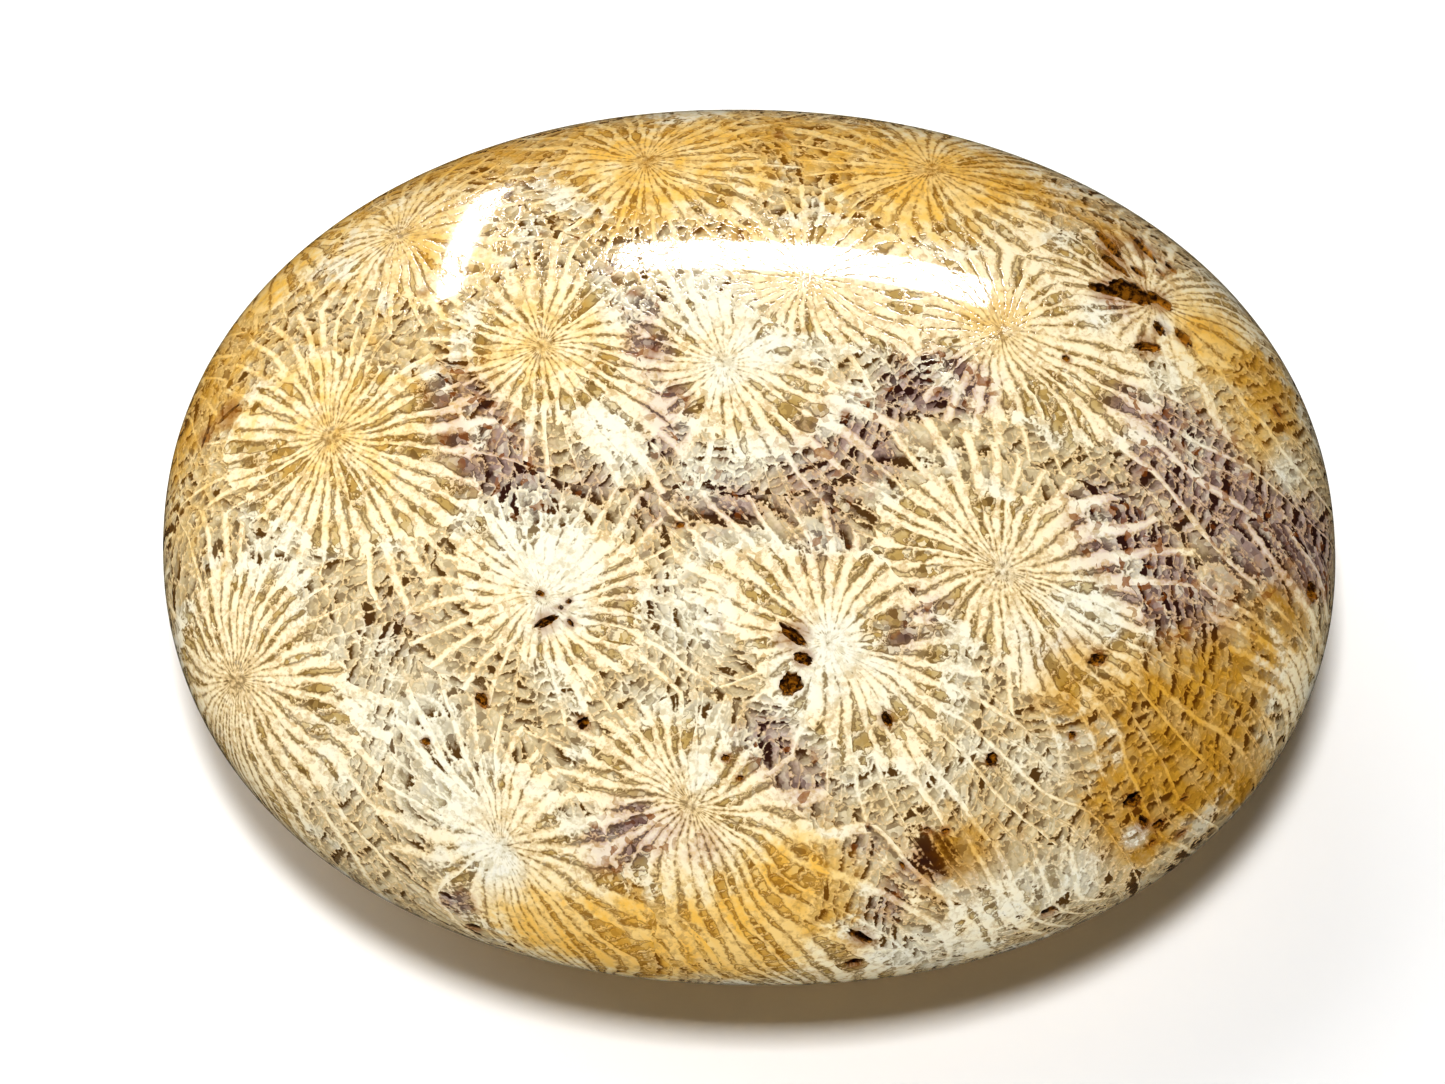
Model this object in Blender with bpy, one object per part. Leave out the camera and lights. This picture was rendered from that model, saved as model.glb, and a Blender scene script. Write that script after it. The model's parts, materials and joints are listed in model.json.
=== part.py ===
# Fossil coral pebble: one polished stone lying on its flattened underside.
# Metres, +Z up. The origin is the middle of the footprint, +X runs along the stone's length.
# The stone and its pore cutters are shaped in millimetres and scaled down as objects.
import math

import bmesh
import bpy
from mathutils import Matrix, Vector, noise

MM = 0.001

# Overall size of the polished stone, in mm
LENGTH = 62.0
WIDTH = 47.4
THICKNESS = 24.0

# Outline seen from above: 2 would be an ellipse, a higher power fills out the corners
OUTLINE_POWER = 2.12
SECTION_POWER = 2.25
# The outline leans a little to one diagonal and bulges slightly in three places
OUTLINE_SKEW = -0.0065
OUTLINE_THREE_LOBES = -0.0030

# The worn spot that the stone rests on is ground off this far above its lowest point, in mm
REST_CUT = 0.15
FACET_LEVELS = 5

# Open pores in the top and on the flanks, as the middle of the mouth seen from above (x, y),
# the mouth's length and width, the turn of its length from +X in degrees, and the depth, in mm
PORES = {
    "cavity_middle": (20.0, 11.3, 2.6, 1.4, -12, 1.7),
    "cavity_left_arm": (18.5, 11.3, 1.8, 0.7, -10, 0.9),
    "cavity_right_arm": (21.5, 11.0, 1.7, 0.7, -25, 0.9),
    "cavity_upper_slit": (18.9, 14.3, 2.2, 0.7, -56, 1.0),
    "cavity_upper_link": (19.2, 12.9, 2.0, 0.5, -38, 0.8),
    "cavity_back_slit": (20.8, 14.4, 2.2, 0.6, -60, 0.9),
    "cavity_lower_slot": (21.4, 9.3, 1.0, 0.6, -62, 0.7),
    "cavity_lower_corner": (22.7, 8.9, 1.3, 0.7, -45, 0.7),
    "cavity_foot": (20.7, 8.1, 1.6, 0.6, 6, 0.6),
    "middle_slot": (2.2, -8.2, 1.9, 0.6, -40, 0.8),
    "middle_notch": (2.7, -9.4, 1.1, 0.6, -20, 0.6),
    "middle_hole": (2.05, -10.7, 1.3, 1.15, 60, 0.9),
    "left_slot": (-10.4, -7.4, 1.3, 0.45, 28, 0.5),
    "left_hole": (-8.5, -12.55, 0.75, 0.6, 60, 0.5),
    "left_lower_hole": (-13.7, -11.2, 0.9, 0.6, -60, 0.4),
    "left_rim_hole": (-14.3, -21.2, 0.8, 0.65, 50, 0.5),
    "front_slit": (5.75, -22.4, 1.8, 0.6, -58, 0.8),
    "front_hole": (5.4, -23.25, 1.1, 0.8, 15, 0.6),
    "small_dark_hole": (7.0, -12.4, 0.9, 0.5, -62, 0.5),
    "ringed_hole": (12.35, -14.2, 0.8, 0.7, 70, 0.5),
    "olive_hole": (17.8, -9.0, 1.0, 0.7, 10, 0.4),
    "amber_triangle": (19.7, -15.6, 1.2, 0.8, 25, 0.8),
    "amber_slot": (20.3, -16.5, 1.0, 0.45, -50, 0.6),
    "amber_corner": (21.1, -16.5, 0.7, 0.6, -30, 0.6),
    "front_pocket": (15.5, -20.7, 1.0, 0.7, 10, 0.4),
    "right_flank_hole": (29.4, -3.9, 1.3, 1.0, -30, 0.8),
}
PORE_RAGGEDNESS = 0.22
PORE_FACET_LEVELS = 2

HALF = Vector((LENGTH / 2, WIDTH / 2, THICKNESS / 2))


def stretch_to_surface(point):
    """The point of the stone's surface on the ray from its middle through the given point."""
    angle = math.atan2(point.y, point.x)
    across = abs(math.cos(angle) / HALF.x) ** OUTLINE_POWER
    across += abs(math.sin(angle) / HALF.y) ** OUTLINE_POWER
    outline = across ** (-1 / OUTLINE_POWER)
    outline *= 1 + OUTLINE_SKEW * math.sin(2 * angle) + OUTLINE_THREE_LOBES * math.sin(3 * angle)
    flat = (math.hypot(point.x, point.y) / outline) ** SECTION_POWER
    upright = (abs(point.z) / HALF.z) ** SECTION_POWER
    return point / (flat + upright) ** (1 / SECTION_POWER)


def new_collection(name):
    collection = bpy.data.collections.new(name)
    bpy.context.scene.collection.children.link(collection)
    return collection


def polished_stone():
    material = bpy.data.materials.new("polished fossil coral")
    material.use_nodes = True
    surface = material.node_tree.nodes["Principled BSDF"]
    surface.inputs["Base Color"].default_value = (0.72, 0.58, 0.36, 1)
    surface.inputs["Roughness"].default_value = 0.12
    surface.inputs["Metallic"].default_value = 0
    return material


def stone_body(parts):
    """A ball drawn out to the stone's form and ground off underneath."""
    form = bmesh.new()
    bmesh.ops.create_icosphere(form, subdivisions=FACET_LEVELS, radius=1)
    for vert in form.verts:
        spread = Vector((vert.co.x * HALF.x, vert.co.y * HALF.y, vert.co.z * HALF.z))
        vert.co = stretch_to_surface(spread)

    rest = Vector((0, 0, min(vert.co.z for vert in form.verts) + REST_CUT))
    everything = form.verts[:] + form.edges[:] + form.faces[:]
    cut = bmesh.ops.bisect_plane(form, geom=everything, plane_co=rest, plane_no=(0, 0, 1), clear_inner=True)
    rim = [piece for piece in cut["geom_cut"] if isinstance(piece, bmesh.types.BMEdge)]
    bmesh.ops.edgeloop_fill(form, edges=rim)

    low = Vector(min(vert.co[axis] for vert in form.verts) for axis in range(3))
    high = Vector(max(vert.co[axis] for vert in form.verts) for axis in range(3))
    for vert in form.verts:
        vert.co.x = ((vert.co.x - low.x) / (high.x - low.x) - 0.5) * LENGTH
        vert.co.y = ((vert.co.y - low.y) / (high.y - low.y) - 0.5) * WIDTH
        vert.co.z = (vert.co.z - low.z) / (high.z - low.z) * THICKNESS
    bmesh.ops.recalc_face_normals(form, faces=form.faces)

    mesh = bpy.data.meshes.new("pebble")
    form.to_mesh(mesh)
    form.free()
    mesh.shade_smooth()
    pebble = bpy.data.objects.new("pebble", mesh)
    pebble.scale = (MM, MM, MM)
    pebble.data.materials.append(polished_stone())
    parts.objects.link(pebble)
    return pebble


def top_of_stone(pebble, x, y):
    """Where a plumb line at (x, y) meets the stone from above, and which way the surface faces."""
    hit, place, facing, _ = pebble.ray_cast(Vector((x, y, THICKNESS * 2)), Vector((0, 0, -1)))
    if not hit:
        raise ValueError(f"no stone under ({x}, {y})")
    return place, facing


def add_pore_cutter(cutters, name, place, facing, half_size, turn):
    """A ragged lens whose middle lies in the surface, long axis turned from +X."""
    along = Vector((math.cos(turn), math.sin(turn), 0))
    along = (along - facing * along.dot(facing)).normalized()
    frame = Matrix((along, facing.cross(along), facing)).transposed()

    lens = bmesh.new()
    bmesh.ops.create_icosphere(lens, subdivisions=PORE_FACET_LEVELS, radius=1)
    for vert in lens.verts:
        ragged = 1 + PORE_RAGGEDNESS * noise.noise(vert.co * 1.3 + place)
        vert.co = Vector(vert.co[axis] * half_size[axis] for axis in range(3)) * ragged
    mesh = bpy.data.meshes.new(name)
    lens.to_mesh(mesh)
    lens.free()

    cutter = bpy.data.objects.new(name, mesh)
    cutter.matrix_world = Matrix.Scale(MM, 4) @ Matrix.Translation(place) @ frame.to_4x4()
    cutter.hide_render = True
    cutter.display_type = "WIRE"
    cutters.objects.link(cutter)


def open_pores(pebble, cutters):
    """Every pore is cut into the one body; pores that overlap run into each other."""
    for name, (x, y, length, width, turn, depth) in PORES.items():
        place, facing = top_of_stone(pebble, x, y)
        half_size = (length / 2, width / 2, depth)
        add_pore_cutter(cutters, name, place, facing, half_size, math.radians(turn))
    cut = pebble.modifiers.new("pores", "BOOLEAN")
    cut.operation = "DIFFERENCE"
    cut.operand_type = "COLLECTION"
    cut.collection = cutters


for leftover in list(bpy.data.objects):
    bpy.data.objects.remove(leftover, do_unlink=True)

stone_parts = new_collection("fossil coral pebble")
pore_cutters = new_collection("pore cutters")
stone = stone_body(stone_parts)
bpy.context.view_layer.update()
open_pores(stone, pore_cutters)
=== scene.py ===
import json
import math

import bmesh
import bpy
import numpy as np
from mathutils import Matrix, Vector, noise

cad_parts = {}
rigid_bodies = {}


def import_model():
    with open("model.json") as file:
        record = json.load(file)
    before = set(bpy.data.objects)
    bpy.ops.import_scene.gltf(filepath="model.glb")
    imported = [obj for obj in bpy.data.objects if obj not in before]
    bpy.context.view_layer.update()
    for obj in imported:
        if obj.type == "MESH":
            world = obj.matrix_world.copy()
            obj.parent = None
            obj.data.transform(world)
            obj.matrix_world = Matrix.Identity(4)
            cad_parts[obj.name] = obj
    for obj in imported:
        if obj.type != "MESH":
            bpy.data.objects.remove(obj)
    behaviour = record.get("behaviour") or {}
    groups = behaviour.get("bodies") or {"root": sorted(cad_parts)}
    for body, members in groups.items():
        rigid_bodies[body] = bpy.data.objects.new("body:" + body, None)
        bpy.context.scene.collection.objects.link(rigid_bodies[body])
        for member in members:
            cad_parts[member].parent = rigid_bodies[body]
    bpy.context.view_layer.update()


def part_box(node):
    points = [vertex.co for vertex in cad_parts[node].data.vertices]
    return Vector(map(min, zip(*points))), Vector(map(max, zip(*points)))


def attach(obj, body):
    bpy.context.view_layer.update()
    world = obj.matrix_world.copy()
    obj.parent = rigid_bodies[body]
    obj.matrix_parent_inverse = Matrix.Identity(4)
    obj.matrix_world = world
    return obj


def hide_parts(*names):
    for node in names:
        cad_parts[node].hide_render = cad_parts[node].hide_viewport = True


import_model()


# The stone: one pebble of fossil coral, turned to stone all through. Tumbling wore it to a
# soft oval with a small flat underneath, and the polish closed all but its widest pores.
# It is shaped in millimetres about its own middle and brought down to metres at the end.
MM = 0.001
box_low, box_high = (np.array(corner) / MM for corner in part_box("pebble"))
middle = (box_low + box_high) / 2
half = (box_high - box_low) / 2

# Seen from above, a power of 2 would be an ellipse, and a higher one fills out the corners. The
# outline leans a little to one diagonal and bulges slightly in three places.
OUTLINE_POWER = 2.12
SECTION_POWER = 2.25
OUTLINE_SKEW = -0.0065
OUTLINE_THREE_LOBES = -0.0030
# The worn spot that the stone rests on is ground off this far above its lowest point
REST_CUT = 0.15
STONE_FACET_LEVELS = 7
# Places outside the outline count as lying at the rim, this share of the way out
RIM_SHARE = 0.999


def outline_radius(angle):
    """How far the stone reaches from its middle at its widest, in each direction seen from above."""
    across = np.abs(np.cos(angle) / half[0]) ** OUTLINE_POWER
    across += np.abs(np.sin(angle) / half[1]) ** OUTLINE_POWER
    lobes = 1 + OUTLINE_SKEW * np.sin(2 * angle) + OUTLINE_THREE_LOBES * np.sin(3 * angle)
    return across ** (-1 / OUTLINE_POWER) * lobes


def stretch_to_surface(points):
    """Points about the stone's middle, moved along their rays onto its polished surface."""
    outline = outline_radius(np.arctan2(points[:, 1], points[:, 0]))
    flat = (np.hypot(points[:, 0], points[:, 1]) / outline) ** SECTION_POWER
    upright = (np.abs(points[:, 2]) / half[2]) ** SECTION_POWER
    return points / (flat + upright)[:, None] ** (1 / SECTION_POWER)


def top_point(x, y):
    """The point of the polished top above (x, y), level with the rim where (x, y) is outside it."""
    share = min(math.hypot(x, y) / outline_radius(math.atan2(y, x)), RIM_SHARE)
    height = half[2] * (1 - share ** SECTION_POWER) ** (1 / SECTION_POWER)
    return Vector((x, y, middle[2] + height))


ball = bmesh.new()
bmesh.ops.create_icosphere(ball, subdivisions=STONE_FACET_LEVELS, radius=1)
stone_mesh = bpy.data.meshes.new("stone_form")
ball.to_mesh(stone_mesh)
ball.free()
points = np.zeros(len(stone_mesh.vertices) * 3)
stone_mesh.vertices.foreach_get("co", points)
points = stretch_to_surface(points.reshape(-1, 3) * half)
points[:, 2] = np.maximum(points[:, 2], points[:, 2].min() + REST_CUT)
points = (points - points.min(0)) / (points.max(0) - points.min(0)) * (box_high - box_low) + box_low
stone_mesh.vertices.foreach_set("co", points.ravel())
stone_form = bpy.data.objects.new("stone_form", stone_mesh)
bpy.context.scene.collection.objects.link(stone_form)
bpy.context.view_layer.update()


# The pores: hollows where a tube of the coral was never filled, opened by the polish. Each is a
# ragged lens sunk into the surface: the middle of its mouth seen from above (x, y), the mouth's
# length and width, the turn of its length from +X in degrees, and its depth, in millimetres.
OPEN_PORES = {
    "cavity_middle": (20.0, 11.3, 2.6, 1.4, -12, 1.7),
    "cavity_left_arm": (18.5, 11.3, 1.8, 0.7, -10, 0.9),
    "cavity_right_arm": (21.5, 11.0, 1.7, 0.7, -25, 0.9),
    "cavity_upper_slit": (18.9, 14.3, 2.2, 0.7, -56, 1.0),
    "cavity_upper_link": (19.2, 12.9, 2.0, 0.5, -38, 0.8),
    "cavity_back_slit": (20.8, 14.4, 2.2, 0.6, -60, 0.9),
    "cavity_lower_slot": (21.4, 9.3, 1.0, 0.6, -62, 0.7),
    "cavity_lower_corner": (22.7, 8.9, 1.3, 0.7, -45, 0.7),
    "cavity_foot": (20.7, 8.1, 1.6, 0.6, 6, 0.6),
    "middle_slot": (2.2, -8.2, 1.9, 0.6, -40, 0.8),
    "middle_notch": (2.7, -9.4, 1.1, 0.6, -20, 0.6),
    "middle_hole": (2.05, -10.7, 1.3, 1.15, 60, 0.9),
    "left_slot": (-10.4, -7.4, 1.3, 0.45, 28, 0.5),
    "left_hole": (-8.5, -12.55, 0.75, 0.6, 60, 0.5),
    "left_lower_hole": (-13.7, -11.2, 0.9, 0.6, -60, 0.4),
    "left_rim_hole": (-14.3, -21.2, 0.8, 0.65, 50, 0.5),
    "front_slit": (5.75, -22.4, 1.8, 0.6, -58, 0.8),
    "front_hole": (5.4, -23.25, 1.1, 0.8, 15, 0.6),
    "small_dark_hole": (7.0, -12.4, 0.9, 0.5, -62, 0.5),
    "ringed_hole": (12.35, -14.2, 0.8, 0.7, 70, 0.5),
    "olive_hole": (17.8, -9.0, 1.0, 0.7, 10, 0.4),
    "amber_triangle": (19.7, -15.6, 1.2, 0.8, 25, 0.8),
    "amber_slot": (20.3, -16.5, 1.0, 0.45, -50, 0.6),
    "amber_corner": (21.1, -16.5, 0.7, 0.6, -30, 0.6),
    "front_pocket": (15.5, -20.7, 1.0, 0.7, 10, 0.4),
    "right_flank_hole": (29.4, -3.9, 1.3, 1.0, -30, 0.8),
    "pinhole_centre_left": (-3.55, -2.5, 0.5, 0.35, 10, 0.3),
    "pinhole_star_a": (-9.25, -6.4, 0.35, 0.25, 30, 0.25),
    "pinhole_star_b": (-9.65, -6.7, 0.3, 0.25, 30, 0.2),
    "pinhole_star_c": (-9.15, -7.5, 0.5, 0.25, -50, 0.25),
    "pinhole_star_top": (-10.7, -5.95, 0.5, 0.3, -30, 0.3),
    "pinhole_front_a": (-1.25, -14.35, 0.45, 0.4, 0, 0.35),
    "pinhole_front_b": (-0.5, -15.3, 0.4, 0.3, 30, 0.3),
    "pinhole_left_low": (-16.6, -13.1, 0.55, 0.45, 0, 0.3),
    "pinhole_right_a": (16.5, -12.8, 0.5, 0.4, 60, 0.3),
    "pinhole_right_b": (16.4, 7.0, 0.45, 0.35, -40, 0.3),
    "pinhole_amber_low": (20.8, -17.3, 0.45, 0.35, 60, 0.35),
    "pinhole_amber_right": (22.4, -15.2, 0.55, 0.2, 5, 0.25),
    "pinhole_amber_edge": (22.4, -16.6, 0.7, 0.3, 15, 0.3),
    "pinhole_back_a": (22.2, 13.4, 0.9, 0.5, -50, 0.5),
    "pinhole_back_b": (21.6, 12.9, 0.6, 0.3, -50, 0.3),
    "pinhole_cavity_top": (20.4, 12.7, 1.0, 0.4, -35, 0.4),
    "pinhole_grey": (9.05, -17.6, 0.35, 0.3, 0, 0.2),
    "pinhole_grey_right": (10.0, -17.65, 0.45, 0.3, 10, 0.3),
    "pinhole_front_slit": (7.8, -19.3, 0.6, 0.25, -60, 0.3),
    "pinhole_right_rim": (27.7, 5.6, 0.8, 0.3, -45, 0.35),
    "left_crack_upper": (-27.3, 5.25, 1.7, 0.26, 22, 0.25),
    "left_crack_lower": (-28.5, 4.35, 1.3, 0.3, 62, 0.25),
}
# The edge of a mouth has a few large lobes and many small nicks, each a share of the mouth's size
PORE_LOBES = 1.3
PORE_RAGGEDNESS = 0.22
PORE_NICKS = 3
PORE_FRAY = 0.32
PORE_FACET_LEVELS = 4
# Points that the cuts leave closer together than this are merged
SLIVER = 0.001
# Only the mouths of the pores stay sharp, the polished surface is smooth
SHARP_ANGLE = 35

cutters = bpy.data.collections.new("pore_cutters")
bpy.context.scene.collection.children.link(cutters)
for name, (x, y, length, width, turn, depth) in OPEN_PORES.items():
    _, place, facing, _ = stone_form.ray_cast(Vector((x, y, box_high[2] * 2)), Vector((0, 0, -1)))
    along = Vector((math.cos(math.radians(turn)), math.sin(math.radians(turn)), 0))
    along = (along - facing * along.dot(facing)).normalized()
    lens = bmesh.new()
    bmesh.ops.create_icosphere(lens, subdivisions=PORE_FACET_LEVELS, radius=1)
    for vert in lens.verts:
        ragged = 1 + PORE_RAGGEDNESS * noise.noise(vert.co * PORE_LOBES + place)
        ragged += PORE_FRAY * noise.noise(vert.co * PORE_NICKS + place)
        vert.co = Vector((vert.co.x * length / 2, vert.co.y * width / 2, vert.co.z * depth)) * ragged
    lens_mesh = bpy.data.meshes.new(name)
    lens.to_mesh(lens_mesh)
    lens.free()
    cutter = bpy.data.objects.new(name, lens_mesh)
    turned = Matrix((along, facing.cross(along), facing)).transposed().to_4x4()
    cutter.matrix_world = Matrix.Translation(place) @ turned
    cutters.objects.link(cutter)

cut = stone_form.modifiers.new("pores", "BOOLEAN")
cut.operation = "DIFFERENCE"
cut.operand_type = "COLLECTION"
cut.collection = cutters
bpy.context.view_layer.update()
finished = bmesh.new()
finished.from_object(stone_form, bpy.context.evaluated_depsgraph_get())
bmesh.ops.remove_doubles(finished, verts=finished.verts, dist=SLIVER)
bmesh.ops.triangulate(finished, faces=finished.faces)
pebble_mesh = bpy.data.meshes.new("polished_pebble")
finished.to_mesh(pebble_mesh)
finished.free()
for spent in [*cutters.objects, stone_form]:
    bpy.data.objects.remove(spent, do_unlink=True)
bpy.data.collections.remove(cutters)
polished_pebble = bpy.data.objects.new("polished_pebble", pebble_mesh)
bpy.context.scene.collection.objects.link(polished_pebble)

points = np.zeros(len(pebble_mesh.vertices) * 3)
pebble_mesh.vertices.foreach_get("co", points)
points = points.reshape(-1, 3)
corner_vertex = np.zeros(len(pebble_mesh.loops), int)
pebble_mesh.loops.foreach_get("vertex_index", corner_vertex)
corners = points[corner_vertex]
face_middles = corners.reshape(-1, 3, 3).mean(1)


def keep_on_mesh(name, domain, values):
    """Stores numbers on the stone's mesh for its material to read."""
    kind, field = ("FLOAT_VECTOR", "vector") if values.ndim == 2 else ("FLOAT", "value")
    stored = pebble_mesh.attributes.new(name, kind, domain)
    stored.data.foreach_set(field, values.astype(np.float32).ravel())


# The coral tubes: the colony grew as a bundle of tubes side by side, leaning to the back left, and
# the stone is a slice through them. Each row is a tube where it meets the polished top: its place
# (x, y), the radius of its wall in millimetres, and how many septa it has. The last two pass just
# outside the stone, so that only their septa reach its right and front flanks.
GROWTH = Vector((-0.42, 0.30, 0.86)).normalized()
SIDEWAYS = GROWTH.cross(Vector((0, 0, 1))).normalized()
FORWARD = GROWTH.cross(SIDEWAYS)
TUBES = [
    (-21.4, 3.2, 4.9, 36),
    (-10.6, 7.4, 3.6, 30),
    (-1.6, 6.6, 3.7, 28),
    (13.2, 8.3, 4.2, 30),
    (-10.4, -5.8, 3.8, 30),
    (4.3, -8.8, 4.3, 28),
    (13.4, -5.0, 4.6, 32),
    (-5.5, 18.6, 3.9, 32),
    (-18.4, 14.6, 3.6, 30),
    (3.2, 11.2, 3.8, 30),
    (9.8, 18.3, 3.8, 32),
    (-3.2, -16.6, 3.8, 30),
    (-12.6, -18.2, 3.4, 28),
    (-26.6, -9.0, 4.6, 36),
    (20.6, 11.6, 3.4, 28),
    (33.5, -11.5, 3, 28),
    (17, -27, 4.4, 28),
]
# Everywhere else, round the back and underneath, the tubes stand in a loose triangular net
TUBE_SPACING = 12.0
TUBE_SCATTER = 1.5
TUBE_ROOM = 0.72 * TUBE_SPACING
WALL_RADII = (3.4, 4.2)
SEPTA_COUNTS = (28, 36)
NET_REACH = 1.3
# A tube's wall is an oval, drawn out against its lean, and its septa meet off its middle
WALL_SHIFT = 0.8
WALL_SQUASH = 0.72

tube_rows = []
for x, y, wall, septa in TUBES:
    crossing = top_point(x, y)
    tube_rows.append((crossing.dot(SIDEWAYS), crossing.dot(FORWARD), wall, septa))
draw = np.random.default_rng(8)
reach = int(half[0] * NET_REACH / TUBE_SPACING) + 1
for row in range(-reach, reach + 1):
    for column in range(-reach, reach + 1):
        spot = np.array([column + 0.5 * (row % 2), row * math.sqrt(0.75)]) * TUBE_SPACING
        spot += draw.uniform(-TUBE_SCATTER, TUBE_SCATTER, 2)
        wall = draw.uniform(*WALL_RADII)
        septa = draw.integers(*SEPTA_COUNTS)
        if min(math.dist(spot, other[:2]) for other in tube_rows) > TUBE_ROOM:
            tube_rows.append((*spot, wall, septa))
tubes = np.array(tube_rows)

# Each face of the mesh keeps its nearest two tubes, and the material picks between them at each
# point. Every tube has a number from 0 to 1 of its own, for what is random about it.
axes = np.array([SIDEWAYS, FORWARD, GROWTH])
across_tubes = (face_middles @ axes.T)[:, None, :2] - tubes[None, :, :2]
ovals = (across_tubes + (0, WALL_SHIFT)) * (1, WALL_SQUASH)
order = np.argsort(np.linalg.norm(ovals, axis=2) - tubes[:, 2], 1)
for name, rank in (("near", 0), ("next", 1)):
    chosen = order[:, rank]
    corner_places = corners @ axes.T
    corner_places[:, :2] -= np.repeat(tubes[chosen, :2], 3, 0)
    keep_on_mesh(name + "_tube", "CORNER", corner_places)
    seeds = np.modf(np.sin(chosen * 12.9898 + 4.1) * 437.585)[0] % 1
    keep_on_mesh(name + "_kind", "FACE", np.stack([seeds, tubes[chosen, 2], tubes[chosen, 3]], 1))


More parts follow.
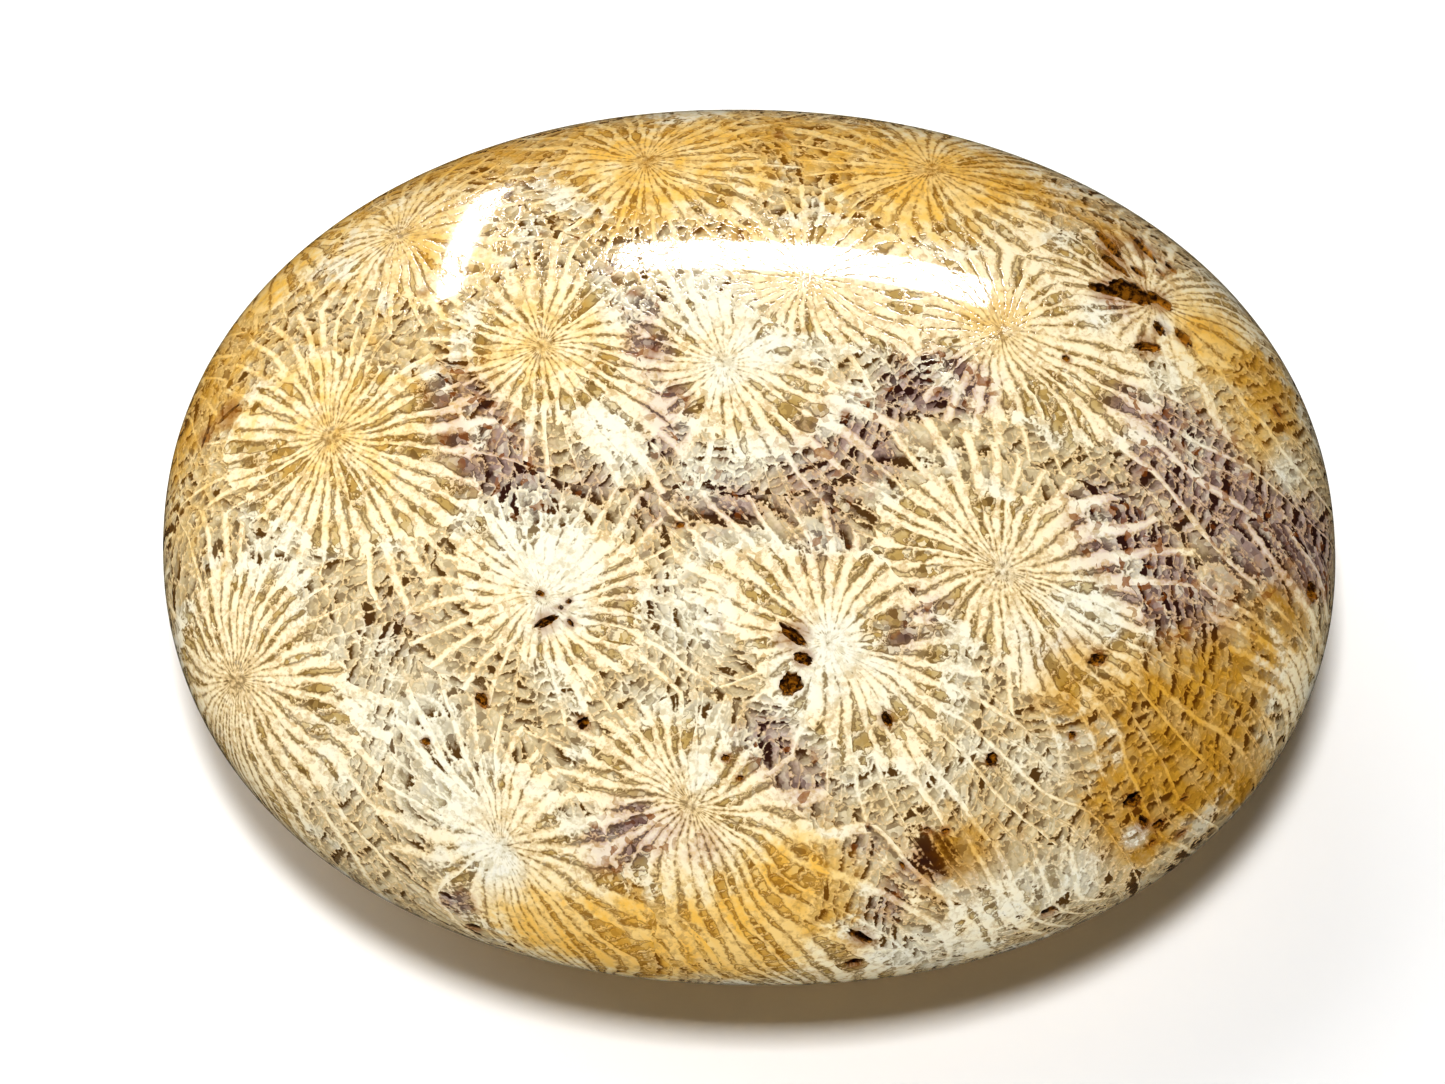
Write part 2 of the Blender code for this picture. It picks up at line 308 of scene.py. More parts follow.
# The stains: iron coloured the rim gold and the right flank ochre, clay and manganese left mauve
# brown clouds between the tubes, and some stars were bleached chalk white. Each spot is its place
# on the top (x, y), its radius in millimetres and its strength.
STAINS = {
    "gold": [
        (-28.8, 8.2, 4, 1), (-26, 13, 3.5, 1), (-22, 17, 3.2, 0.9), (-18, 19.5, 2.8, 0.9),
        (-30, 5.4, 2.4, 0.9), (-14.3, 19.5, 2.9, 0.9), (-9.2, 20.4, 3.2, 0.7),
        (-4.7, 19.3, 4, 0.65), (0.6, 20.4, 3.2, 0.55), (5.3, 19.4, 3.2, 0.65),
        (9.5, 18.2, 3.7, 0.7), (13.7, 17.6, 2.6, 0.65), (-5.7, 15.9, 2.4, 0.6),
        (-21.5, 3.4, 4.5, 0.35), (-10.6, 7.4, 3.4, 0.3), (-30, 0, 5, 0.35), (-18, 9, 11, 0.3),
        (4, 17, 10, 0.3), (8.4, 15.7, 2.4, 0.6), (12.7, 9.3, 2.2, 0.5), (-10.8, -21.6, 2.9, 0.9),
        (-5.7, -22.6, 4.4, 1), (-0.5, -22.7, 3.4, 1), (2.6, -20.4, 3.2, 1), (23.9, 9.3, 2.4, 0.9),
        (27, 7, 3, 0.9), (-16.7, 14.1, 2.4, 0.5), (0, 12.8, 2.1, 0.4), (26.6, 3.1, 1.6, 0.5),
    ],
    "ochre": [
        (26.2, 7.8, 2.7, 0.3), (28.1, 5.5, 2.3, 0.4), (20.8, -11.5, 2.9, 0.8),
        (21.4, -14.7, 2.9, 1), (20.1, -16.9, 2.4, 1), (24, -12.5, 2.9, 0.8),
        (25.3, -9.2, 2.6, 0.6), (22.4, -8.1, 2.4, 0.5), (25.8, -13.9, 2.1, 0.9),
        (10.5, -18.5, 1.5, 0.7), (3.3, -21.1, 1.6, 0.3), (17.7, -15.8, 1.5, 0.6),
        (27.5, -5.8, 3, 0.6), (16, -11.5, 3, 0.35), (16.6, -9.3, 2.4, 0.5), (9.5, -20.5, 3, 0.3),
        (12, -18, 3, 0.3), (15.9, 17.2, 2.4, 0.6), (19, 15.6, 1.6, 0.5), (12.2, 19.3, 2.1, 0.5),
        (5.2, -22.7, 1.3, 0.5), (-29, 7.1, 1.2, 0.6), (1.1, 20.8, 1.2, 0.7),
    ],
    "mauve": [
        (-14.7, 4, 2, 1), (-13.4, 1.5, 2.2, 1), (-11.5, -0.5, 1.7, 0.9), (-15.5, 5.7, 1.3, 0.8),
        (-8.2, -0.1, 1.6, 0.6), (-5.7, 9.3, 1.2, 1), (-5.2, 6.9, 1.3, 1), (-4.5, 4.2, 1.4, 0.8),
        (-4.1, 2, 1.6, 0.8), (-7.5, 11.5, 1.1, 0.5), (-1, -0.9, 2, 0.8), (-4.6, -1.6, 1.6, 0.6),
        (3.6, 0, 2, 0.5), (2.6, 1.7, 1.8, 0.6), (5.4, 2.9, 1.7, 0.8), (8, 4.8, 1.8, 1),
        (10.2, 5.5, 1.8, 1), (11.8, 5.1, 1.3, 0.8), (6.9, 0.7, 1.8, 0.6), (19.1, 10.7, 1.2, 0.7),
        (19.7, 4.9, 1.3, 0.6), (21.5, 2.9, 2.4, 1), (23.3, 1.2, 2.5, 1), (25.3, -0.2, 2.5, 1),
        (27, -2.3, 2.5, 1), (29.5, -1.5, 3, 1), (19, -2.7, 2.4, 1), (20.6, -4.6, 2.2, 1),
        (22, -6.3, 1.8, 1), (17.8, -0.7, 1.5, 0.6), (0.9, -13.2, 1.8, 0.9),
        (2.8, -15.6, 1.7, 0.7), (-5.6, -17.6, 1.7, 1), (-7.2, -18.5, 1.5, 1),
        (-2.3, -18.7, 1.5, 0.5), (5.7, -18.2, 1.4, 0.6), (9.3, -19.1, 1.5, 1),
        (6.9, -21, 1.5, 0.7), (7.9, -8.4, 1.3, 0.6), (9.2, -6.6, 1.4, 0.6),
        (-15.1, -20.3, 1.2, 0.8), (-18.2, -7.2, 1.9, 0.4), (3.6, -3.3, 2.1, 0.5),
        (24, -6.4, 2.1, 0.5), (-5.6, -5.9, 1.7, 0.4),
    ],
    "bleach": [
        (-11.8, -2.1, 2.2, 1), (-9.5, -4.2, 2.5, 0.8), (-10, -6.8, 1.9, 0.7),
        (-7.4, 2.6, 1.8, 0.9), (-6.2, 0.9, 1.2, 0.8), (-2.5, 0.4, 1.6, 0.9), (-0.2, 1, 1.5, 0.9),
        (2.3, 1.4, 1.1, 0.6), (5.8, 4.3, 1.2, 0.9), (-2.6, 10.1, 2.6, 0.8), (0.8, 7, 1.8, 0.8),
        (-1.5, 5.3, 1.6, 0.6), (2.3, -11, 1.9, 0.9), (4.3, -8.7, 2.1, 0.9),
        (6.9, -10.9, 1.7, 0.6), (14.3, -8.7, 2.2, 0.5), (17.2, -6, 1.6, 1), (18.2, -7.2, 1, 0.9),
        (28.2, 2.2, 1.5, 0.7), (-16.4, -12, 2.5, 0.8), (-19.2, -8.4, 1.8, 0.5),
        (-15.1, -15.9, 2.4, 0.8), (-13.3, -18.8, 1.8, 0.9), (-2.5, -14.9, 1.8, 0.6),
        (-3, -7.6, 2.6, 0.8), (-20, -13, 5, 0.4), (12.9, -20.7, 3, 0.6), (8, -22.8, 2.1, 1),
        (16.8, -19.3, 2.4, 0.6), (19.9, -17.1, 0.8, 1), (18.2, 9.7, 1, 1), (21.7, 9.5, 0.7, 0.8),
        (22.8, 3.6, 0.7, 0.6), (13.3, -4.1, 1.9, 0.3), (5.6, -14.9, 1.9, 0.6),
        (15.3, -14.1, 1.8, 0.5),
    ],
}
# Below this height the stains give way to an even tint of iron over the whole underside
UNDERSIDE_TOP = 9.5
UNDERSIDE_FADE = 5
UNDERSIDE = {"gold": 0.9, "ochre": 0.2, "mauve": 0, "bleach": 0}
for name, spots in STAINS.items():
    low_down = np.clip((UNDERSIDE_TOP - points[:, 2]) / UNDERSIDE_FADE, 0, 1)
    clear = 1 - UNDERSIDE[name] * low_down
    for x, y, radius, strength in spots:
        away = np.linalg.norm(points - np.array(top_point(x, y)), axis=1) / radius
        clear *= 1 - strength * np.exp(-away ** 2)
    keep_on_mesh(name, "POINT", 1 - clear)

# How deep each point lies in a pore. The worn flat underneath isn't one.
FLAT_HEIGHT = 0.97
DEEPEST = 2
centred = points - middle
polished = stretch_to_surface(centred)
depth = np.linalg.norm(polished, axis=1) - np.linalg.norm(centred, axis=1)
depth[centred[:, 2] < -half[2] * FLAT_HEIGHT] = 0
keep_on_mesh("sunk", "POINT", np.clip(depth, 0, DEEPEST))

# Rust: it stained the stone round the mouth of each pore, and in a few marks away from them, each
# a place (x, y) and a radius in millimetres
RUST_REACH = 0.25
BROWN_MARKS = [
    (-5.1, 6.8, 0.7), (-6.1, 10.3, 0.45), (1.6, 20.5, 0.6), (-10.7, 14.1, 0.4), (-9.1, 13.7, 0.35),
    (-17, 11, 0.5), (-7.85, -5.6, 0.3), (-0.4, -7.05, 0.3), (-1.5, -7.8, 0.4), (22.3, 2.5, 0.6),
    (-4.6, 5.6, 0.5), (4.9, 3.4, 0.5), (-15.6, 2.6, 0.4), (9.4, 5.6, 0.4),
]
rust = np.zeros(len(points))
for x, y, length, *_ in OPEN_PORES.values():
    away = np.linalg.norm(points - np.array(top_point(x, y)), axis=1)
    rust = np.maximum(rust, np.exp(-(away / (length / 2 + RUST_REACH)) ** 2))
for x, y, radius in BROWN_MARKS:
    away = np.linalg.norm(points - np.array(top_point(x, y)), axis=1)
    rust = np.maximum(rust, np.exp(-(away / radius) ** 2))
keep_on_mesh("rust", "POINT", rust)

points *= MM
pebble_mesh.vertices.foreach_set("co", points.ravel())
pebble_mesh.shade_smooth()
pebble_mesh.set_sharp_from_angle(angle=math.radians(SHARP_ANGLE))
pebble_mesh.update()


# Fossil coral, an agate of silica with chalky septa, ground fine and buffed: the septa are
# opaque cream, the filling between them is a darker glassy tan, and one hard gloss lies over both.
fossil_coral = bpy.data.materials.new("polished_fossil_coral")
fossil_coral.use_nodes = True
coral = fossil_coral.node_tree
coral.nodes.clear()


def colour(hex_code):
    """An sRGB hex colour as linear red, green, blue and alpha."""
    parts = (int(hex_code[at:at + 2], 16) / 255 for at in (0, 2, 4))
    return (*(part / 12.92 if part <= 0.04045 else ((part + 0.055) / 1.055) ** 2.4 for part in parts), 1)


def add(kind, sockets=(), out=0, **settings):
    """Adds a node with its settings, its input values and links, and gives back one output, or all."""
    made = coral.nodes.new("ShaderNode" + kind)
    for setting, value in settings.items():
        setattr(made, setting, value)
    for key, value in sockets.items() if isinstance(sockets, dict) else enumerate(sockets):
        if isinstance(value, bpy.types.NodeSocket):
            coral.links.new(value, made.inputs[key])
        elif value is not None:
            made.inputs[key].default_value = value
    return made.outputs if out is None else made.outputs[out]


BLEND = {"out": 2, "data_type": "RGBA"}
STEP = {"interpolation_type": "SMOOTHSTEP"}

# A slow drift and a fine ripple bend the tubes by up to this many millimetres, so that no line is
# ruled. The scale of each noise and grain counts its waves or grains per millimetre.
DRIFT_BEND = 2.2
RIPPLE_BEND = 0.2
BEND_MIDDLE = (DRIFT_BEND + RIPPLE_BEND) / 2
place = add("VectorMath", [add("TexCoord", out="Object"), None, None, 1 / MM], operation="SCALE")
drift = add("TexNoise", {"Vector": place, "Scale": 0.16, "Detail": 1.0}, out="Color")
ripple = add("TexNoise", {"Vector": place, "Scale": 1.3, "Detail": 2.0}, out="Color")
bend = add("VectorMath", [drift, (DRIFT_BEND,) * 3, (-BEND_MIDDLE,) * 3], operation="MULTIPLY_ADD")
bend = add("VectorMath", [ripple, (RIPPLE_BEND,) * 3, bend], operation="MULTIPLY_ADD")

# The stains get ragged edges from a cloud of noise. A slower veil makes the coral denser in one
# spot and more open in the next.
CLOUD_REACH = 1.3
cloud = add("TexNoise", {"Vector": place, "Scale": 0.9, "Detail": 3.0, "Roughness": 0.65}, out="Fac")
cloud = add("Math", [cloud, 0.5], operation="SUBTRACT")
veil = add("TexNoise", {"Vector": place, "Scale": 0.42, "Detail": 1.0}, out="Fac")
stain = {}
for name in STAINS:
    spread = add("Attribute", attribute_name=name, out="Fac")
    spread = add("Math", [cloud, CLOUD_REACH, spread], operation="MULTIPLY_ADD")
    stain[name] = add("MapRange", {0: spread, 1: 0.10, 2: 0.80}, **STEP)

# Fray roughens every drawn edge, and each small grain of the stone has a tone of its own
fray = add("TexNoise", {"Vector": place, "Scale": 4.0, "Detail": 2.0}, out="Fac")
fray = add("Math", [fray, 0.5], operation="SUBTRACT")
GRAIN_BEND = 0.9
grain_place = add("VectorMath", [ripple, (GRAIN_BEND,) * 3, place], operation="MULTIPLY_ADD")
grain = add("TexVoronoi", {"Vector": grain_place, "Scale": 2.6}, out="Color")
grain_tone, grain_hue, _ = add("SeparateXYZ", [grain], out=None)

# The nearer of two tubes at each point, and how far the point lies outside its wall, which wanders
# in and out a little
WALL_WANDER = 5.0
WALL_RAGGEDNESS = 2.2
choices = []
for name in ("near", "next"):
    local = add("Attribute", attribute_name=name + "_tube", out="Vector")
    local = add("VectorMath", [local, bend], operation="ADD")
    kind = add("Attribute", attribute_name=name + "_kind", out="Vector")
    oval = add("VectorMath", [local, (1, WALL_SQUASH, 0), (0, WALL_SHIFT * WALL_SQUASH, 0)],
               operation="MULTIPLY_ADD")
    reach_out = add("VectorMath", [oval], operation="LENGTH", out="Value")
    wall = add("SeparateXYZ", [kind], out=1)
    choices.append((local, kind, add("Math", [reach_out, wall], operation="SUBTRACT")))
(near, near_kind, near_out), (other, other_kind, other_out) = choices
swap = add("Math", [near_out, other_out], operation="GREATER_THAN")
tube = add("Mix", {0: swap, 4: near, 5: other}, out=1, data_type="VECTOR")
kind = add("Mix", {0: swap, 4: near_kind, 5: other_kind}, out=1, data_type="VECTOR")
outside = add("Math", [near_out, other_out], operation="MINIMUM")
outside = add("Math", [cloud, WALL_RAGGEDNESS, outside], operation="MULTIPLY_ADD")
wander = add("SeparateXYZ", [drift], out=2)
outside = add("Math", [wander, WALL_WANDER, outside], operation="MULTIPLY_ADD")
outside = add("Math", [outside, WALL_WANDER / 2], operation="SUBTRACT")
side, front, along = add("SeparateXYZ", [tube], out=None)
seed, _, septa = add("SeparateXYZ", [kind], out=None)
flat = add("VectorMath", [tube, (1, 1, 0)], operation="MULTIPLY")
radius = add("VectorMath", [flat], operation="LENGTH", out="Value")

# Iron crept along the tubes, so its stains are drawn out into streaks
STREAK_STRETCH = 5
streaks = add("VectorMath", [tube, (1, 1, 1 / STREAK_STRETCH)], operation="MULTIPLY")
streaks = add("TexNoise", {"Vector": streaks, "Scale": 0.8, "Detail": 2.0}, out="Fac")
streaks = add("MapRange", {0: streaks, 1: 0.4, 2: 0.58, 3: 0.7})
for name in ("gold", "ochre"):
    stain[name] = add("Math", [stain[name], streaks], operation="MULTIPLY")

# Septa: upright sheets that run out from the middle, numbered round the tube. The gaps between
# them are pointed at both ends inside the wall, and each has its own length and width. Lengths are
# in millimetres, those of the outer end counted from the wall, and widths are a share of the space
# from one septum to the next.
GAP_START = 0.7
GAP_STAGGER = 2.4
GAP_POINT = 1.1
GAP_END = 0.35
GAP_FULL = -0.25
GAP_END_STAGGER = 0.6
NARROWEST_GAP = 0.09
GAP_SPREAD = 0.36
SEED_STEP = 57
turns = add("Math", [add("Math", [front, side], operation="ARCTAN2"), 1 / (2 * math.pi), seed],
            operation="MULTIPLY_ADD")
fan = add("Math", [turns, septa], operation="MULTIPLY")
pitch = add("Math", [add("Math", [radius, 2 * math.pi], operation="MULTIPLY"), septa], operation="DIVIDE")
number = add("Math", [fan], operation="FLOOR")
number = add("Math", [seed, SEED_STEP, number], operation="MULTIPLY_ADD")
gap_draw = add("TexWhiteNoise", {"W": number}, out="Color", noise_dimensions="1D")
start_draw, width_draw, end_draw = add("SeparateXYZ", [gap_draw], out=None)
off_septum = add("Math", [fan, 0.5], operation="PINGPONG")
off_gap = add("Math", [0.5, off_septum], operation="SUBTRACT")
off_septum_mm = add("Math", [off_septum, pitch], operation="MULTIPLY")
gap_start = add("Math", [start_draw, GAP_STAGGER, GAP_START], operation="MULTIPLY_ADD")
opening = add("Math", [radius, gap_start], operation="SUBTRACT")
opening = add("MapRange", {0: opening, 1: 0, 2: GAP_POINT}, **STEP)
closing = add("Math", [end_draw, GAP_END_STAGGER, outside], operation="MULTIPLY_ADD")
closing = add("MapRange", {0: closing, 1: GAP_END, 2: GAP_FULL}, **STEP)
share = add("Math", [width_draw, GAP_SPREAD, NARROWEST_GAP], operation="MULTIPLY_ADD")
openness = add("MapRange", {0: veil, 1: 0.4, 2: 0.6, 3: 0.4, 4: 1.3})
share = add("Math", [share, openness], operation="MULTIPLY")
gap_half = add("Math", [opening, closing], operation="MULTIPLY")
gap_half = add("Math", [gap_half, share], operation="MULTIPLY")
hollow_gap = add("Math", [gap_half, off_gap], operation="SUBTRACT")
hollow_gap = add("Math", [hollow_gap, pitch], operation="MULTIPLY")

# Rungs: thin bars that cross each gap at even steps along the tube, at a height of its own
RUNG_SPACING = 0.65
RUNG_HALF = 0.05
RUNG_STAGGER = 3.0
rung = add("Math", [start_draw, RUNG_STAGGER, fray], operation="MULTIPLY_ADD")
rung = add("Math", [along, 1 / RUNG_SPACING, rung], operation="MULTIPLY_ADD")
rung = add("Math", [rung, 0.5], operation="PINGPONG")
rung = add("Math", [rung, RUNG_SPACING, -RUNG_HALF], operation="MULTIPLY_ADD")
hollow_gap = add("Math", [hollow_gap, rung], operation="MINIMUM")

# Dissepiments: thin plates stacked between the septa outside the wall, cut across into a net of
# small flakes, each with its own tone. They are laid out in widths and heights of one flake, by the
# septum that they lie at and by how far they climb, out from the tube and down along it.
FLAKE_WIDTH = 1.05
FLAKE_HEIGHT = 0.6
FLAKE_EDGE = 0.045
FLAKE_SWAY = 1.6
FLAKE_LIFT = 1.2
FLAKE_DISORDER = 0.85
FLAKE_TILT = -0.5
FLAKE_TILT_SPREAD = 1.8
CLIMB_OUT = 0.85
CLIMB_DOWN = 0.6
SEPTUM_PITCH = 1.25
climb = add("Math", [along, -CLIMB_DOWN], operation="MULTIPLY")
climb = add("Math", [radius, CLIMB_OUT, climb], operation="MULTIPLY_ADD")
flake_x = add("Math", [seed, SEED_STEP], operation="MULTIPLY")
flake_x = add("Math", [fan, SEPTUM_PITCH / FLAKE_WIDTH, flake_x], operation="MULTIPLY_ADD")
flake_x = add("Math", [cloud, FLAKE_SWAY, flake_x], operation="MULTIPLY_ADD")
across_gap = add("Math", [fan], operation="FRACT")
flake_y = add("Math", [climb, 1 / FLAKE_HEIGHT, start_draw], operation="MULTIPLY_ADD")
flake_tilt = add("Math", [width_draw, FLAKE_TILT_SPREAD, FLAKE_TILT], operation="MULTIPLY_ADD")
flake_y = add("Math", [across_gap, flake_tilt, flake_y], operation="MULTIPLY_ADD")
flake_y = add("Math", [fray, 0.5, flake_y], operation="MULTIPLY_ADD")
flake_y = add("Math", [cloud, FLAKE_LIFT, flake_y], operation="MULTIPLY_ADD")
flake_place = add("CombineXYZ", [flake_x, flake_y])
flake_net = {"Vector": flake_place, "Scale": 1.0, "Randomness": FLAKE_DISORDER}
flake = add("TexVoronoi", flake_net, out=None, voronoi_dimensions="2D")
flake_tone, flake_hue, flake_pit = add("SeparateXYZ", [flake["Color"]], out=None)
off_middle = add("VectorMath", [flake_place, flake["Position"]], operation="SUBTRACT")
up_flake = add("Math", [add("SeparateXYZ", [off_middle], out=1), 0.5], operation="ADD")
off_edge = add("TexVoronoi", flake_net, out="Distance", feature="DISTANCE_TO_EDGE",
               voronoi_dimensions="2D")
hollow_flake = add("Math", [off_edge, FLAKE_HEIGHT, -FLAKE_EDGE], operation="MULTIPLY_ADD")

# Outside the wall the septa grow thin and some end, and where they stand wide apart a young one
# starts half way between
THICKEST_SEPTUM = 0.34
SEPTUM_LOSS = 0.03
septum_half = add("Math", [end_draw, THICKEST_SEPTUM, -SEPTUM_LOSS], operation="MULTIPLY_ADD")
thinning = add("MapRange", {0: outside, 1: 1.5, 2: 4, 4: 0.08})
septum_half = add("Math", [septum_half, thinning], operation="SUBTRACT")
hollow_cell = add("Math", [off_septum_mm, septum_half], operation="SUBTRACT")
hollow_cell = add("Math", [hollow_cell, hollow_flake], operation="MINIMUM")
off_gap_mm = add("Math", [off_gap, pitch], operation="MULTIPLY")
young_half = add("MapRange", {0: pitch, 1: 1.2, 2: 1.8, 3: -0.02, 4: 0.11}, **STEP)
off_young = add("Math", [off_gap_mm, young_half], operation="SUBTRACT")
hollow_cell = add("Math", [hollow_cell, off_young], operation="MINIMUM")
wall_edge = add("Math", [start_draw, 0.5, -0.2], operation="MULTIPLY_ADD")
past_wall = add("Math", [outside, wall_edge], operation="SUBTRACT")
hollow_cell = add("Math", [hollow_cell, past_wall], operation="MINIMUM")

# A chalky haze lies along the walls here and there, where no iron reached, and fades out over
# about a millimetre to either side
HAZE_PAST_WALL = 0.3
HAZE_END = 1.2
HAZE_FULL = 0.3
off_wall = add("Math", [outside, HAZE_PAST_WALL], operation="SUBTRACT")
off_wall = add("Math", [off_wall], operation="ABSOLUTE")
haze = add("MapRange", {0: off_wall, 1: HAZE_END, 2: HAZE_FULL}, **STEP)
haze_here = add("MapRange", {0: veil, 1: 0.45, 2: 0.6, 4: 0.8}, **STEP)
haze = add("Math", [haze, haze_here], operation="MULTIPLY")
iron = add("Math", [stain["gold"], stain["ochre"]], operation="ADD")
haze = add("Math", [haze, iron], operation="SUBTRACT")
stain["bleach"] = add("Math", [stain["bleach"], haze], operation="MAXIMUM")

# How far each point lies inside a gap or a flake, in millimetres, and below zero in a septum or an
# edge. Mauve clay widens the hollows a little, and bleaching narrows them.
FRAY_REACH = 0.30
CLAY_WIDENS = 0.02
BLEACH_NARROWS = 0.04
SOFT_EDGE = 0.04
hollow = add("Math", [hollow_gap, hollow_cell], operation="MAXIMUM")
hollow = add("Math", [fray, FRAY_REACH, hollow], operation="MULTIPLY_ADD")
hollow = add("Math", [stain["mauve"], CLAY_WIDENS, hollow], operation="MULTIPLY_ADD")
hollow = add("Math", [stain["bleach"], -BLEACH_NARROWS, hollow], operation="MULTIPLY_ADD")
bone = add("MapRange", {0: hollow, 1: SOFT_EDGE, 2: -SOFT_EDGE}, **STEP)

# Septa: cream, chalk white where bleached, honey and ochre where stained, palest along their
# middles and tarnished in patches and along their edges
septa_colour = add("Mix", {0: stain["mauve"], 6: colour("F3E3BC"), 7: colour("D4BFB4")}, **BLEND)
honey = add("Mix", {0: stain["gold"], 6: colour("F6DC94"), 7: colour("F0C468")}, **BLEND)
septa_colour = add("Mix", {0: stain["gold"], 6: septa_colour, 7: honey}, **BLEND)
septa_colour = add("Mix", {0: stain["ochre"], 6: septa_colour, 7: colour("DCAE4E")}, **BLEND)
septa_colour = add("Mix", {0: stain["bleach"], 6: septa_colour, 7: colour("EFEBDC")}, **BLEND)
chalky = add("MapRange", {0: grain_tone, 1: 0.55, 2: 0.95, 4: 0.6})
ridge = add("MapRange", {0: hollow, 1: -0.05, 2: -0.2, 4: 0.5}, **STEP)
chalky = add("Math", [chalky, ridge], operation="MAXIMUM")
chalky = add("Math", [chalky, iron], operation="SUBTRACT", use_clamp=True)
septa_colour = add("Mix", {0: chalky, 6: septa_colour, 7: colour("FAF2D8")}, **BLEND)
worn = add("Mix", {0: stain["bleach"], 6: colour("C4A068"), 7: colour("CFC3A0")}, **BLEND)
worn = add("Mix", {0: stain["ochre"], 6: worn, 7: colour("A87A2C")}, **BLEND)
mottle = add("TexNoise", {"Vector": place, "Scale": 2.4, "Detail": 3.0, "Roughness": 0.7}, out="Fac")
tarnish = add("Math", [grain_hue, 0.30], operation="MULTIPLY")
tarnish = add("Math", [mottle, tarnish], operation="ADD")
tarnish = add("MapRange", {0: tarnish, 1: 0.60, 2: 0.92, 4: 0.7}, **STEP)
slope = add("MapRange", {0: hollow, 1: -0.10, 2: -0.01, 4: 0.6}, **STEP)
tarnish = add("Math", [tarnish, slope], operation="MAXIMUM")
tarnished = add("Mix", {0: tarnish, 6: septa_colour, 7: worn}, **BLEND)

# Filling: glassy tan, with painted shade along one side of each gap and at the foot of each flake, and
# painted light towards a flake's top
outer = add("MapRange", {0: outside, 1: -0.1, 2: 0.3}, **STEP)
filling = add("Mix", {0: outer, 6: colour("BEA268"), 7: colour("B4A07C")}, **BLEND)
filling = add("Mix", {0: stain["mauve"], 6: filling, 7: colour("80665E")}, **BLEND)
filling = add("Mix", {0: stain["gold"], 6: filling, 7: colour("CFA24C")}, **BLEND)
filling = add("Mix", {0: stain["ochre"], 6: filling, 7: colour("B28830")}, **BLEND)
whitened = add("Math", [stain["bleach"], 0.6], operation="MULTIPLY")
filling = add("Mix", {0: whitened, 6: filling, 7: colour("D2CAAC")}, **BLEND)
# The colour of the painted shade, and of the dark clay pits and dark grains
edge = add("Mix", {0: stain["mauve"], 6: colour("664C2A"), 7: colour("402620")}, **BLEND)
edge = add("Mix", {0: stain["gold"], 6: edge, 7: colour("8A601F")}, **BLEND)
edge = add("Mix", {0: stain["ochre"], 6: edge, 7: colour("70480F")}, **BLEND)
# Painted light: each flake turns paler towards its top
painted_flake_light = add("MapRange", {0: up_flake, 1: 0.45, 2: 1.0, 4: 0.8})
painted_flake_light = add("Math", [painted_flake_light, outer], operation="MULTIPLY")
pale = add("MapRange", {0: flake_tone, 1: 0.35, 2: 1.0, 4: 0.6})
pale = add("Math", [pale, outer], operation="MULTIPLY")
pale_veil = add("MapRange", {0: veil, 1: 0.58, 2: 0.42, 4: 0.4})
pale = add("Math", [pale, pale_veil], operation="MAXIMUM")
pale_grain = add("MapRange", {0: grain_tone, 1: 0.65, 2: 0.95, 4: 0.7})
pale = add("Math", [pale, pale_grain], operation="MAXIMUM")
pale = add("Math", [pale, painted_flake_light], operation="MAXIMUM")
filling = add("Mix", {0: pale, 6: filling, 7: septa_colour}, **BLEND)

# Painted shade along a hollow's edge, twice as wide on one side of the gap, as if light fell from one
# side
WIDE_SHADE = 0.17
NARROW_SHADE = 0.08
one_side = add("MapRange", {0: across_gap, 1: 0.35, 2: 0.65, 3: WIDE_SHADE, 4: NARROW_SHADE})
rim_shade = add("Math", [hollow, one_side], operation="DIVIDE")
rim_shade = add("MapRange", {0: rim_shade, 1: 1.0, 2: 0.3, 4: 0.65}, **STEP)
softer_outside = add("MapRange", {0: outer, 3: 1.0, 4: 0.35})
rim_shade = add("Math", [rim_shade, softer_outside], operation="MULTIPLY")
# Painted shade at the foot of each flake, deeper in some flakes and in the mauve
flake_shade = add("MapRange", {0: up_flake, 1: 0.5, 2: 0.1})
flake_shade = add("Math", [flake_shade, outer], operation="MULTIPLY")
depth_of_shade = add("Math", [flake_hue, 0.9, 0.4], operation="MULTIPLY_ADD")
depth_of_shade = add("Math", [stain["mauve"], depth_of_shade], operation="ADD", use_clamp=True)
flake_shade = add("Math", [flake_shade, depth_of_shade], operation="MULTIPLY")

# A few flakes are pits filled with dark clay, and a few grains are as dark
pit = add("Math", [stain["mauve"], 0.16, flake_pit], operation="MULTIPLY_ADD")
pit = add("MapRange", {0: pit, 1: 0.86, 2: 0.92})
low_in_flake = add("MapRange", {0: up_flake, 1: 0.7, 2: 0.5}, **STEP)
pit = add("Math", [pit, low_in_flake], operation="MULTIPLY")
pit = add("Math", [pit, outer], operation="MULTIPLY")
streak = add("MapRange", {0: grain_tone, 1: 0.3, 2: 0.0, 4: 0.8})
# Painted shade along the hollows and under the flakes, joined with the dark clay pits and dark grains
painted_shade_and_dark_clay = add("Math", [rim_shade, flake_shade], operation="MAXIMUM")
painted_shade_and_dark_clay = add("Math", [painted_shade_and_dark_clay, streak], operation="MAXIMUM")
painted_shade_and_dark_clay = add("Math", [painted_shade_and_dark_clay, pit], operation="MAXIMUM")
filling = add("Mix", {0: painted_shade_and_dark_clay, 6: filling, 7: edge}, **BLEND)
look = add("Mix", {0: bone, 6: filling, 7: tarnished}, **BLEND)

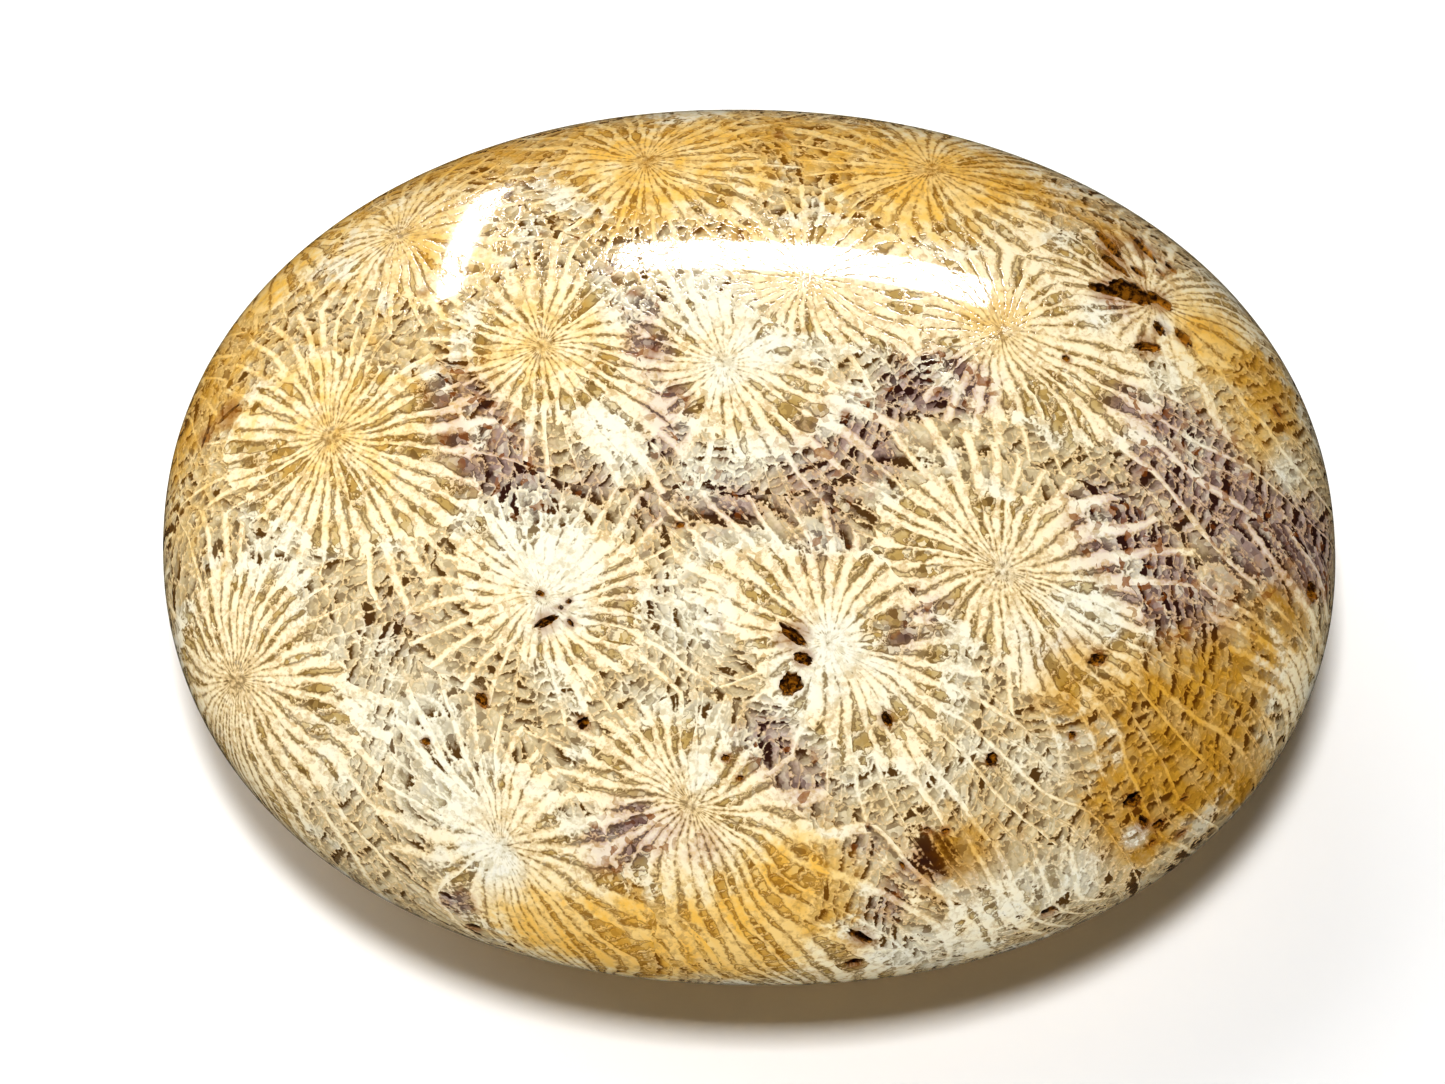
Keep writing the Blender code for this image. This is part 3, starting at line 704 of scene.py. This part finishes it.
# Rust round each pore's mouth and in specks through the mauve, and dark earth inside the pores
rusty = add("Math", [cloud, add("Attribute", attribute_name="rust", out="Fac")], operation="ADD")
rusty = add("MapRange", {0: rusty, 1: 0.35, 2: 0.95, 4: 0.6}, **STEP)
specks = add("MapRange", {0: grain_hue, 1: 0.86, 2: 0.96, 4: 0.7})
specks = add("Math", [stain["mauve"], specks], operation="MULTIPLY")
rusty = add("Math", [rusty, specks], operation="MAXIMUM")
look = add("Mix", {0: rusty, 6: look, 7: colour("8A5220")}, **BLEND)
sunk = add("MapRange", {0: add("Attribute", attribute_name="sunk", out="Fac"), 1: 0.02, 2: 0.3}, **STEP)
earth = add("MapRange", {0: mottle, 1: 0.42, 2: 0.58})
earth = add("Mix", {0: earth, 6: colour("3A2008"), 7: colour("B07C2A")}, **BLEND)
look = add("Mix", {0: sunk, 6: look, 7: earth}, **BLEND)

# One polish over all of it, with the harder septa a hair proud. The pores stay rough inside.
SEPTA_RELIEF = 0.02 * MM
POLISHED = 0.04
ROUGH = 0.6
CHALCEDONY_IOR = 1.54
relief = add("Bump", {"Strength": 0.25, "Distance": SEPTA_RELIEF, "Height": bone})
gloss = add("MapRange", {0: sunk, 3: POLISHED, 4: ROUGH})
surface = add("BsdfPrincipled", {"Base Color": look, "Roughness": gloss, "IOR": CHALCEDONY_IOR,
                                 "Normal": relief})
add("OutputMaterial", [surface], out=None)
pebble_mesh.materials.clear()
pebble_mesh.materials.append(fossil_coral)
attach(polished_pebble, "root")
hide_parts("pebble")


# The table: a sheet of matt white card, 6 metres across, so that its edges stay out of the frame.
# It doesn't show in the stone's gloss, which keeps the flanks dark and clear.
CARD_HALF_WIDTH = 3
floor_mesh = bpy.data.meshes.new("white_card")
card = bmesh.new()
bmesh.ops.create_grid(card, x_segments=1, y_segments=1, size=CARD_HALF_WIDTH)
card.to_mesh(floor_mesh)
card.free()
white_card = bpy.data.objects.new("white_card", floor_mesh)
bpy.context.scene.collection.objects.link(white_card)
card_paper = bpy.data.materials.new("matt_white_card")
card_paper.use_nodes = True
card_surface = card_paper.node_tree.nodes["Principled BSDF"]
card_surface.inputs["Base Color"].default_value = colour("F7F7F7")
card_surface.inputs["Roughness"].default_value = 0.9
card_surface.inputs["Specular IOR Level"].default_value = 0.1
floor_mesh.materials.append(card_paper)
white_card.visible_glossy = False


# The light: a soft lamp overhead casts the shadow, and weak fills behind and in front lift the
# flanks. A strip window behind the stone and a narrow one to its left show only in its gloss. The
# pale room all round is faint.
scene = bpy.context.scene
scene.view_settings.view_transform = "Standard"
scene.view_settings.look = "High Contrast"
stone_middle = Vector(middle * MM)


def add_window(name, azimuth, elevation, width, height, brightness, roll=0.0, distance=0.6):
    """A rectangular light that fills the given angles in degrees, seen from the stone.
    Azimuth 0 is straight behind it and 90 to its right."""
    turn, rise = math.radians(azimuth), math.radians(elevation)
    away = Vector((math.sin(turn) * math.cos(rise), math.cos(turn) * math.cos(rise), math.sin(rise)))
    lamp = bpy.data.lights.new(name, "AREA")
    lamp.shape = "RECTANGLE"
    lamp.size = 2 * distance * math.tan(math.radians(width / 2))
    lamp.size_y = 2 * distance * math.tan(math.radians(height / 2))
    lamp.energy = brightness * math.pi * lamp.size * lamp.size_y
    window = bpy.data.objects.new(name, lamp)
    window.location = stone_middle + away * distance
    facing = away.to_track_quat("Z", "Y").to_matrix() @ Matrix.Rotation(math.radians(roll), 3, "Z")
    window.rotation_euler = facing.to_euler()
    scene.collection.objects.link(window)
    return window


overhead_lamp = add_window("overhead_lamp", azimuth=-90, elevation=89, width=8, height=8, brightness=101)
overhead_lamp.visible_glossy = False
back_fill = add_window("back_fill", azimuth=-40, elevation=40, width=60, height=40, brightness=1.75)
back_fill.visible_glossy = False
front_fill = add_window("front_fill", azimuth=180, elevation=5, width=130, height=5, brightness=6)
front_fill.visible_glossy = False
strip_window = add_window(
    "strip_window", azimuth=6.5, elevation=41.8, width=27, height=6.3, brightness=30
)
strip_window.visible_diffuse = False
side_window = add_window(
    "side_window", azimuth=-23.6, elevation=20.6, width=2.6, height=33, brightness=30, roll=-18.5
)
side_window.visible_diffuse = False
ROOM_BRIGHTNESS = 0.025
room = bpy.data.worlds.new("pale_room")
room.use_nodes = True
room.node_tree.nodes["Background"].inputs["Color"].default_value = colour("FFFFFF")
room.node_tree.nodes["Background"].inputs["Strength"].default_value = ROOM_BRIGHTNESS
scene.world = room


# The camera looks steeply down on the stone from the front. Its lens gives the stone the size that
# it has in a frame of 1445 by 1084 pixels, and the whole stone is in focus.
PHOTO_WIDTH = 1445
SENSOR_WIDTH = 36
CAMERA_ELEVATION = 74
CAMERA_DISTANCE = 0.350
PIXELS_PER_METRE = 18880
STONE_LEFT_OF_FRAME_CENTRE = -0.0014
lens_camera = bpy.data.cameras.new("camera")
lens_camera.sensor_width = SENSOR_WIDTH
lens_camera.lens = SENSOR_WIDTH * PIXELS_PER_METRE * CAMERA_DISTANCE / PHOTO_WIDTH
lens_camera.clip_start = 0.01
camera = bpy.data.objects.new("camera", lens_camera)
tilt = math.radians(CAMERA_ELEVATION)
towards_camera = Vector((0, -math.cos(tilt), math.sin(tilt)))
aim = stone_middle + Vector((STONE_LEFT_OF_FRAME_CENTRE, 0, 0))
camera.location = aim + towards_camera * CAMERA_DISTANCE
camera.rotation_euler = towards_camera.to_track_quat("Z", "Y").to_euler()
scene.collection.objects.link(camera)
scene.camera = camera
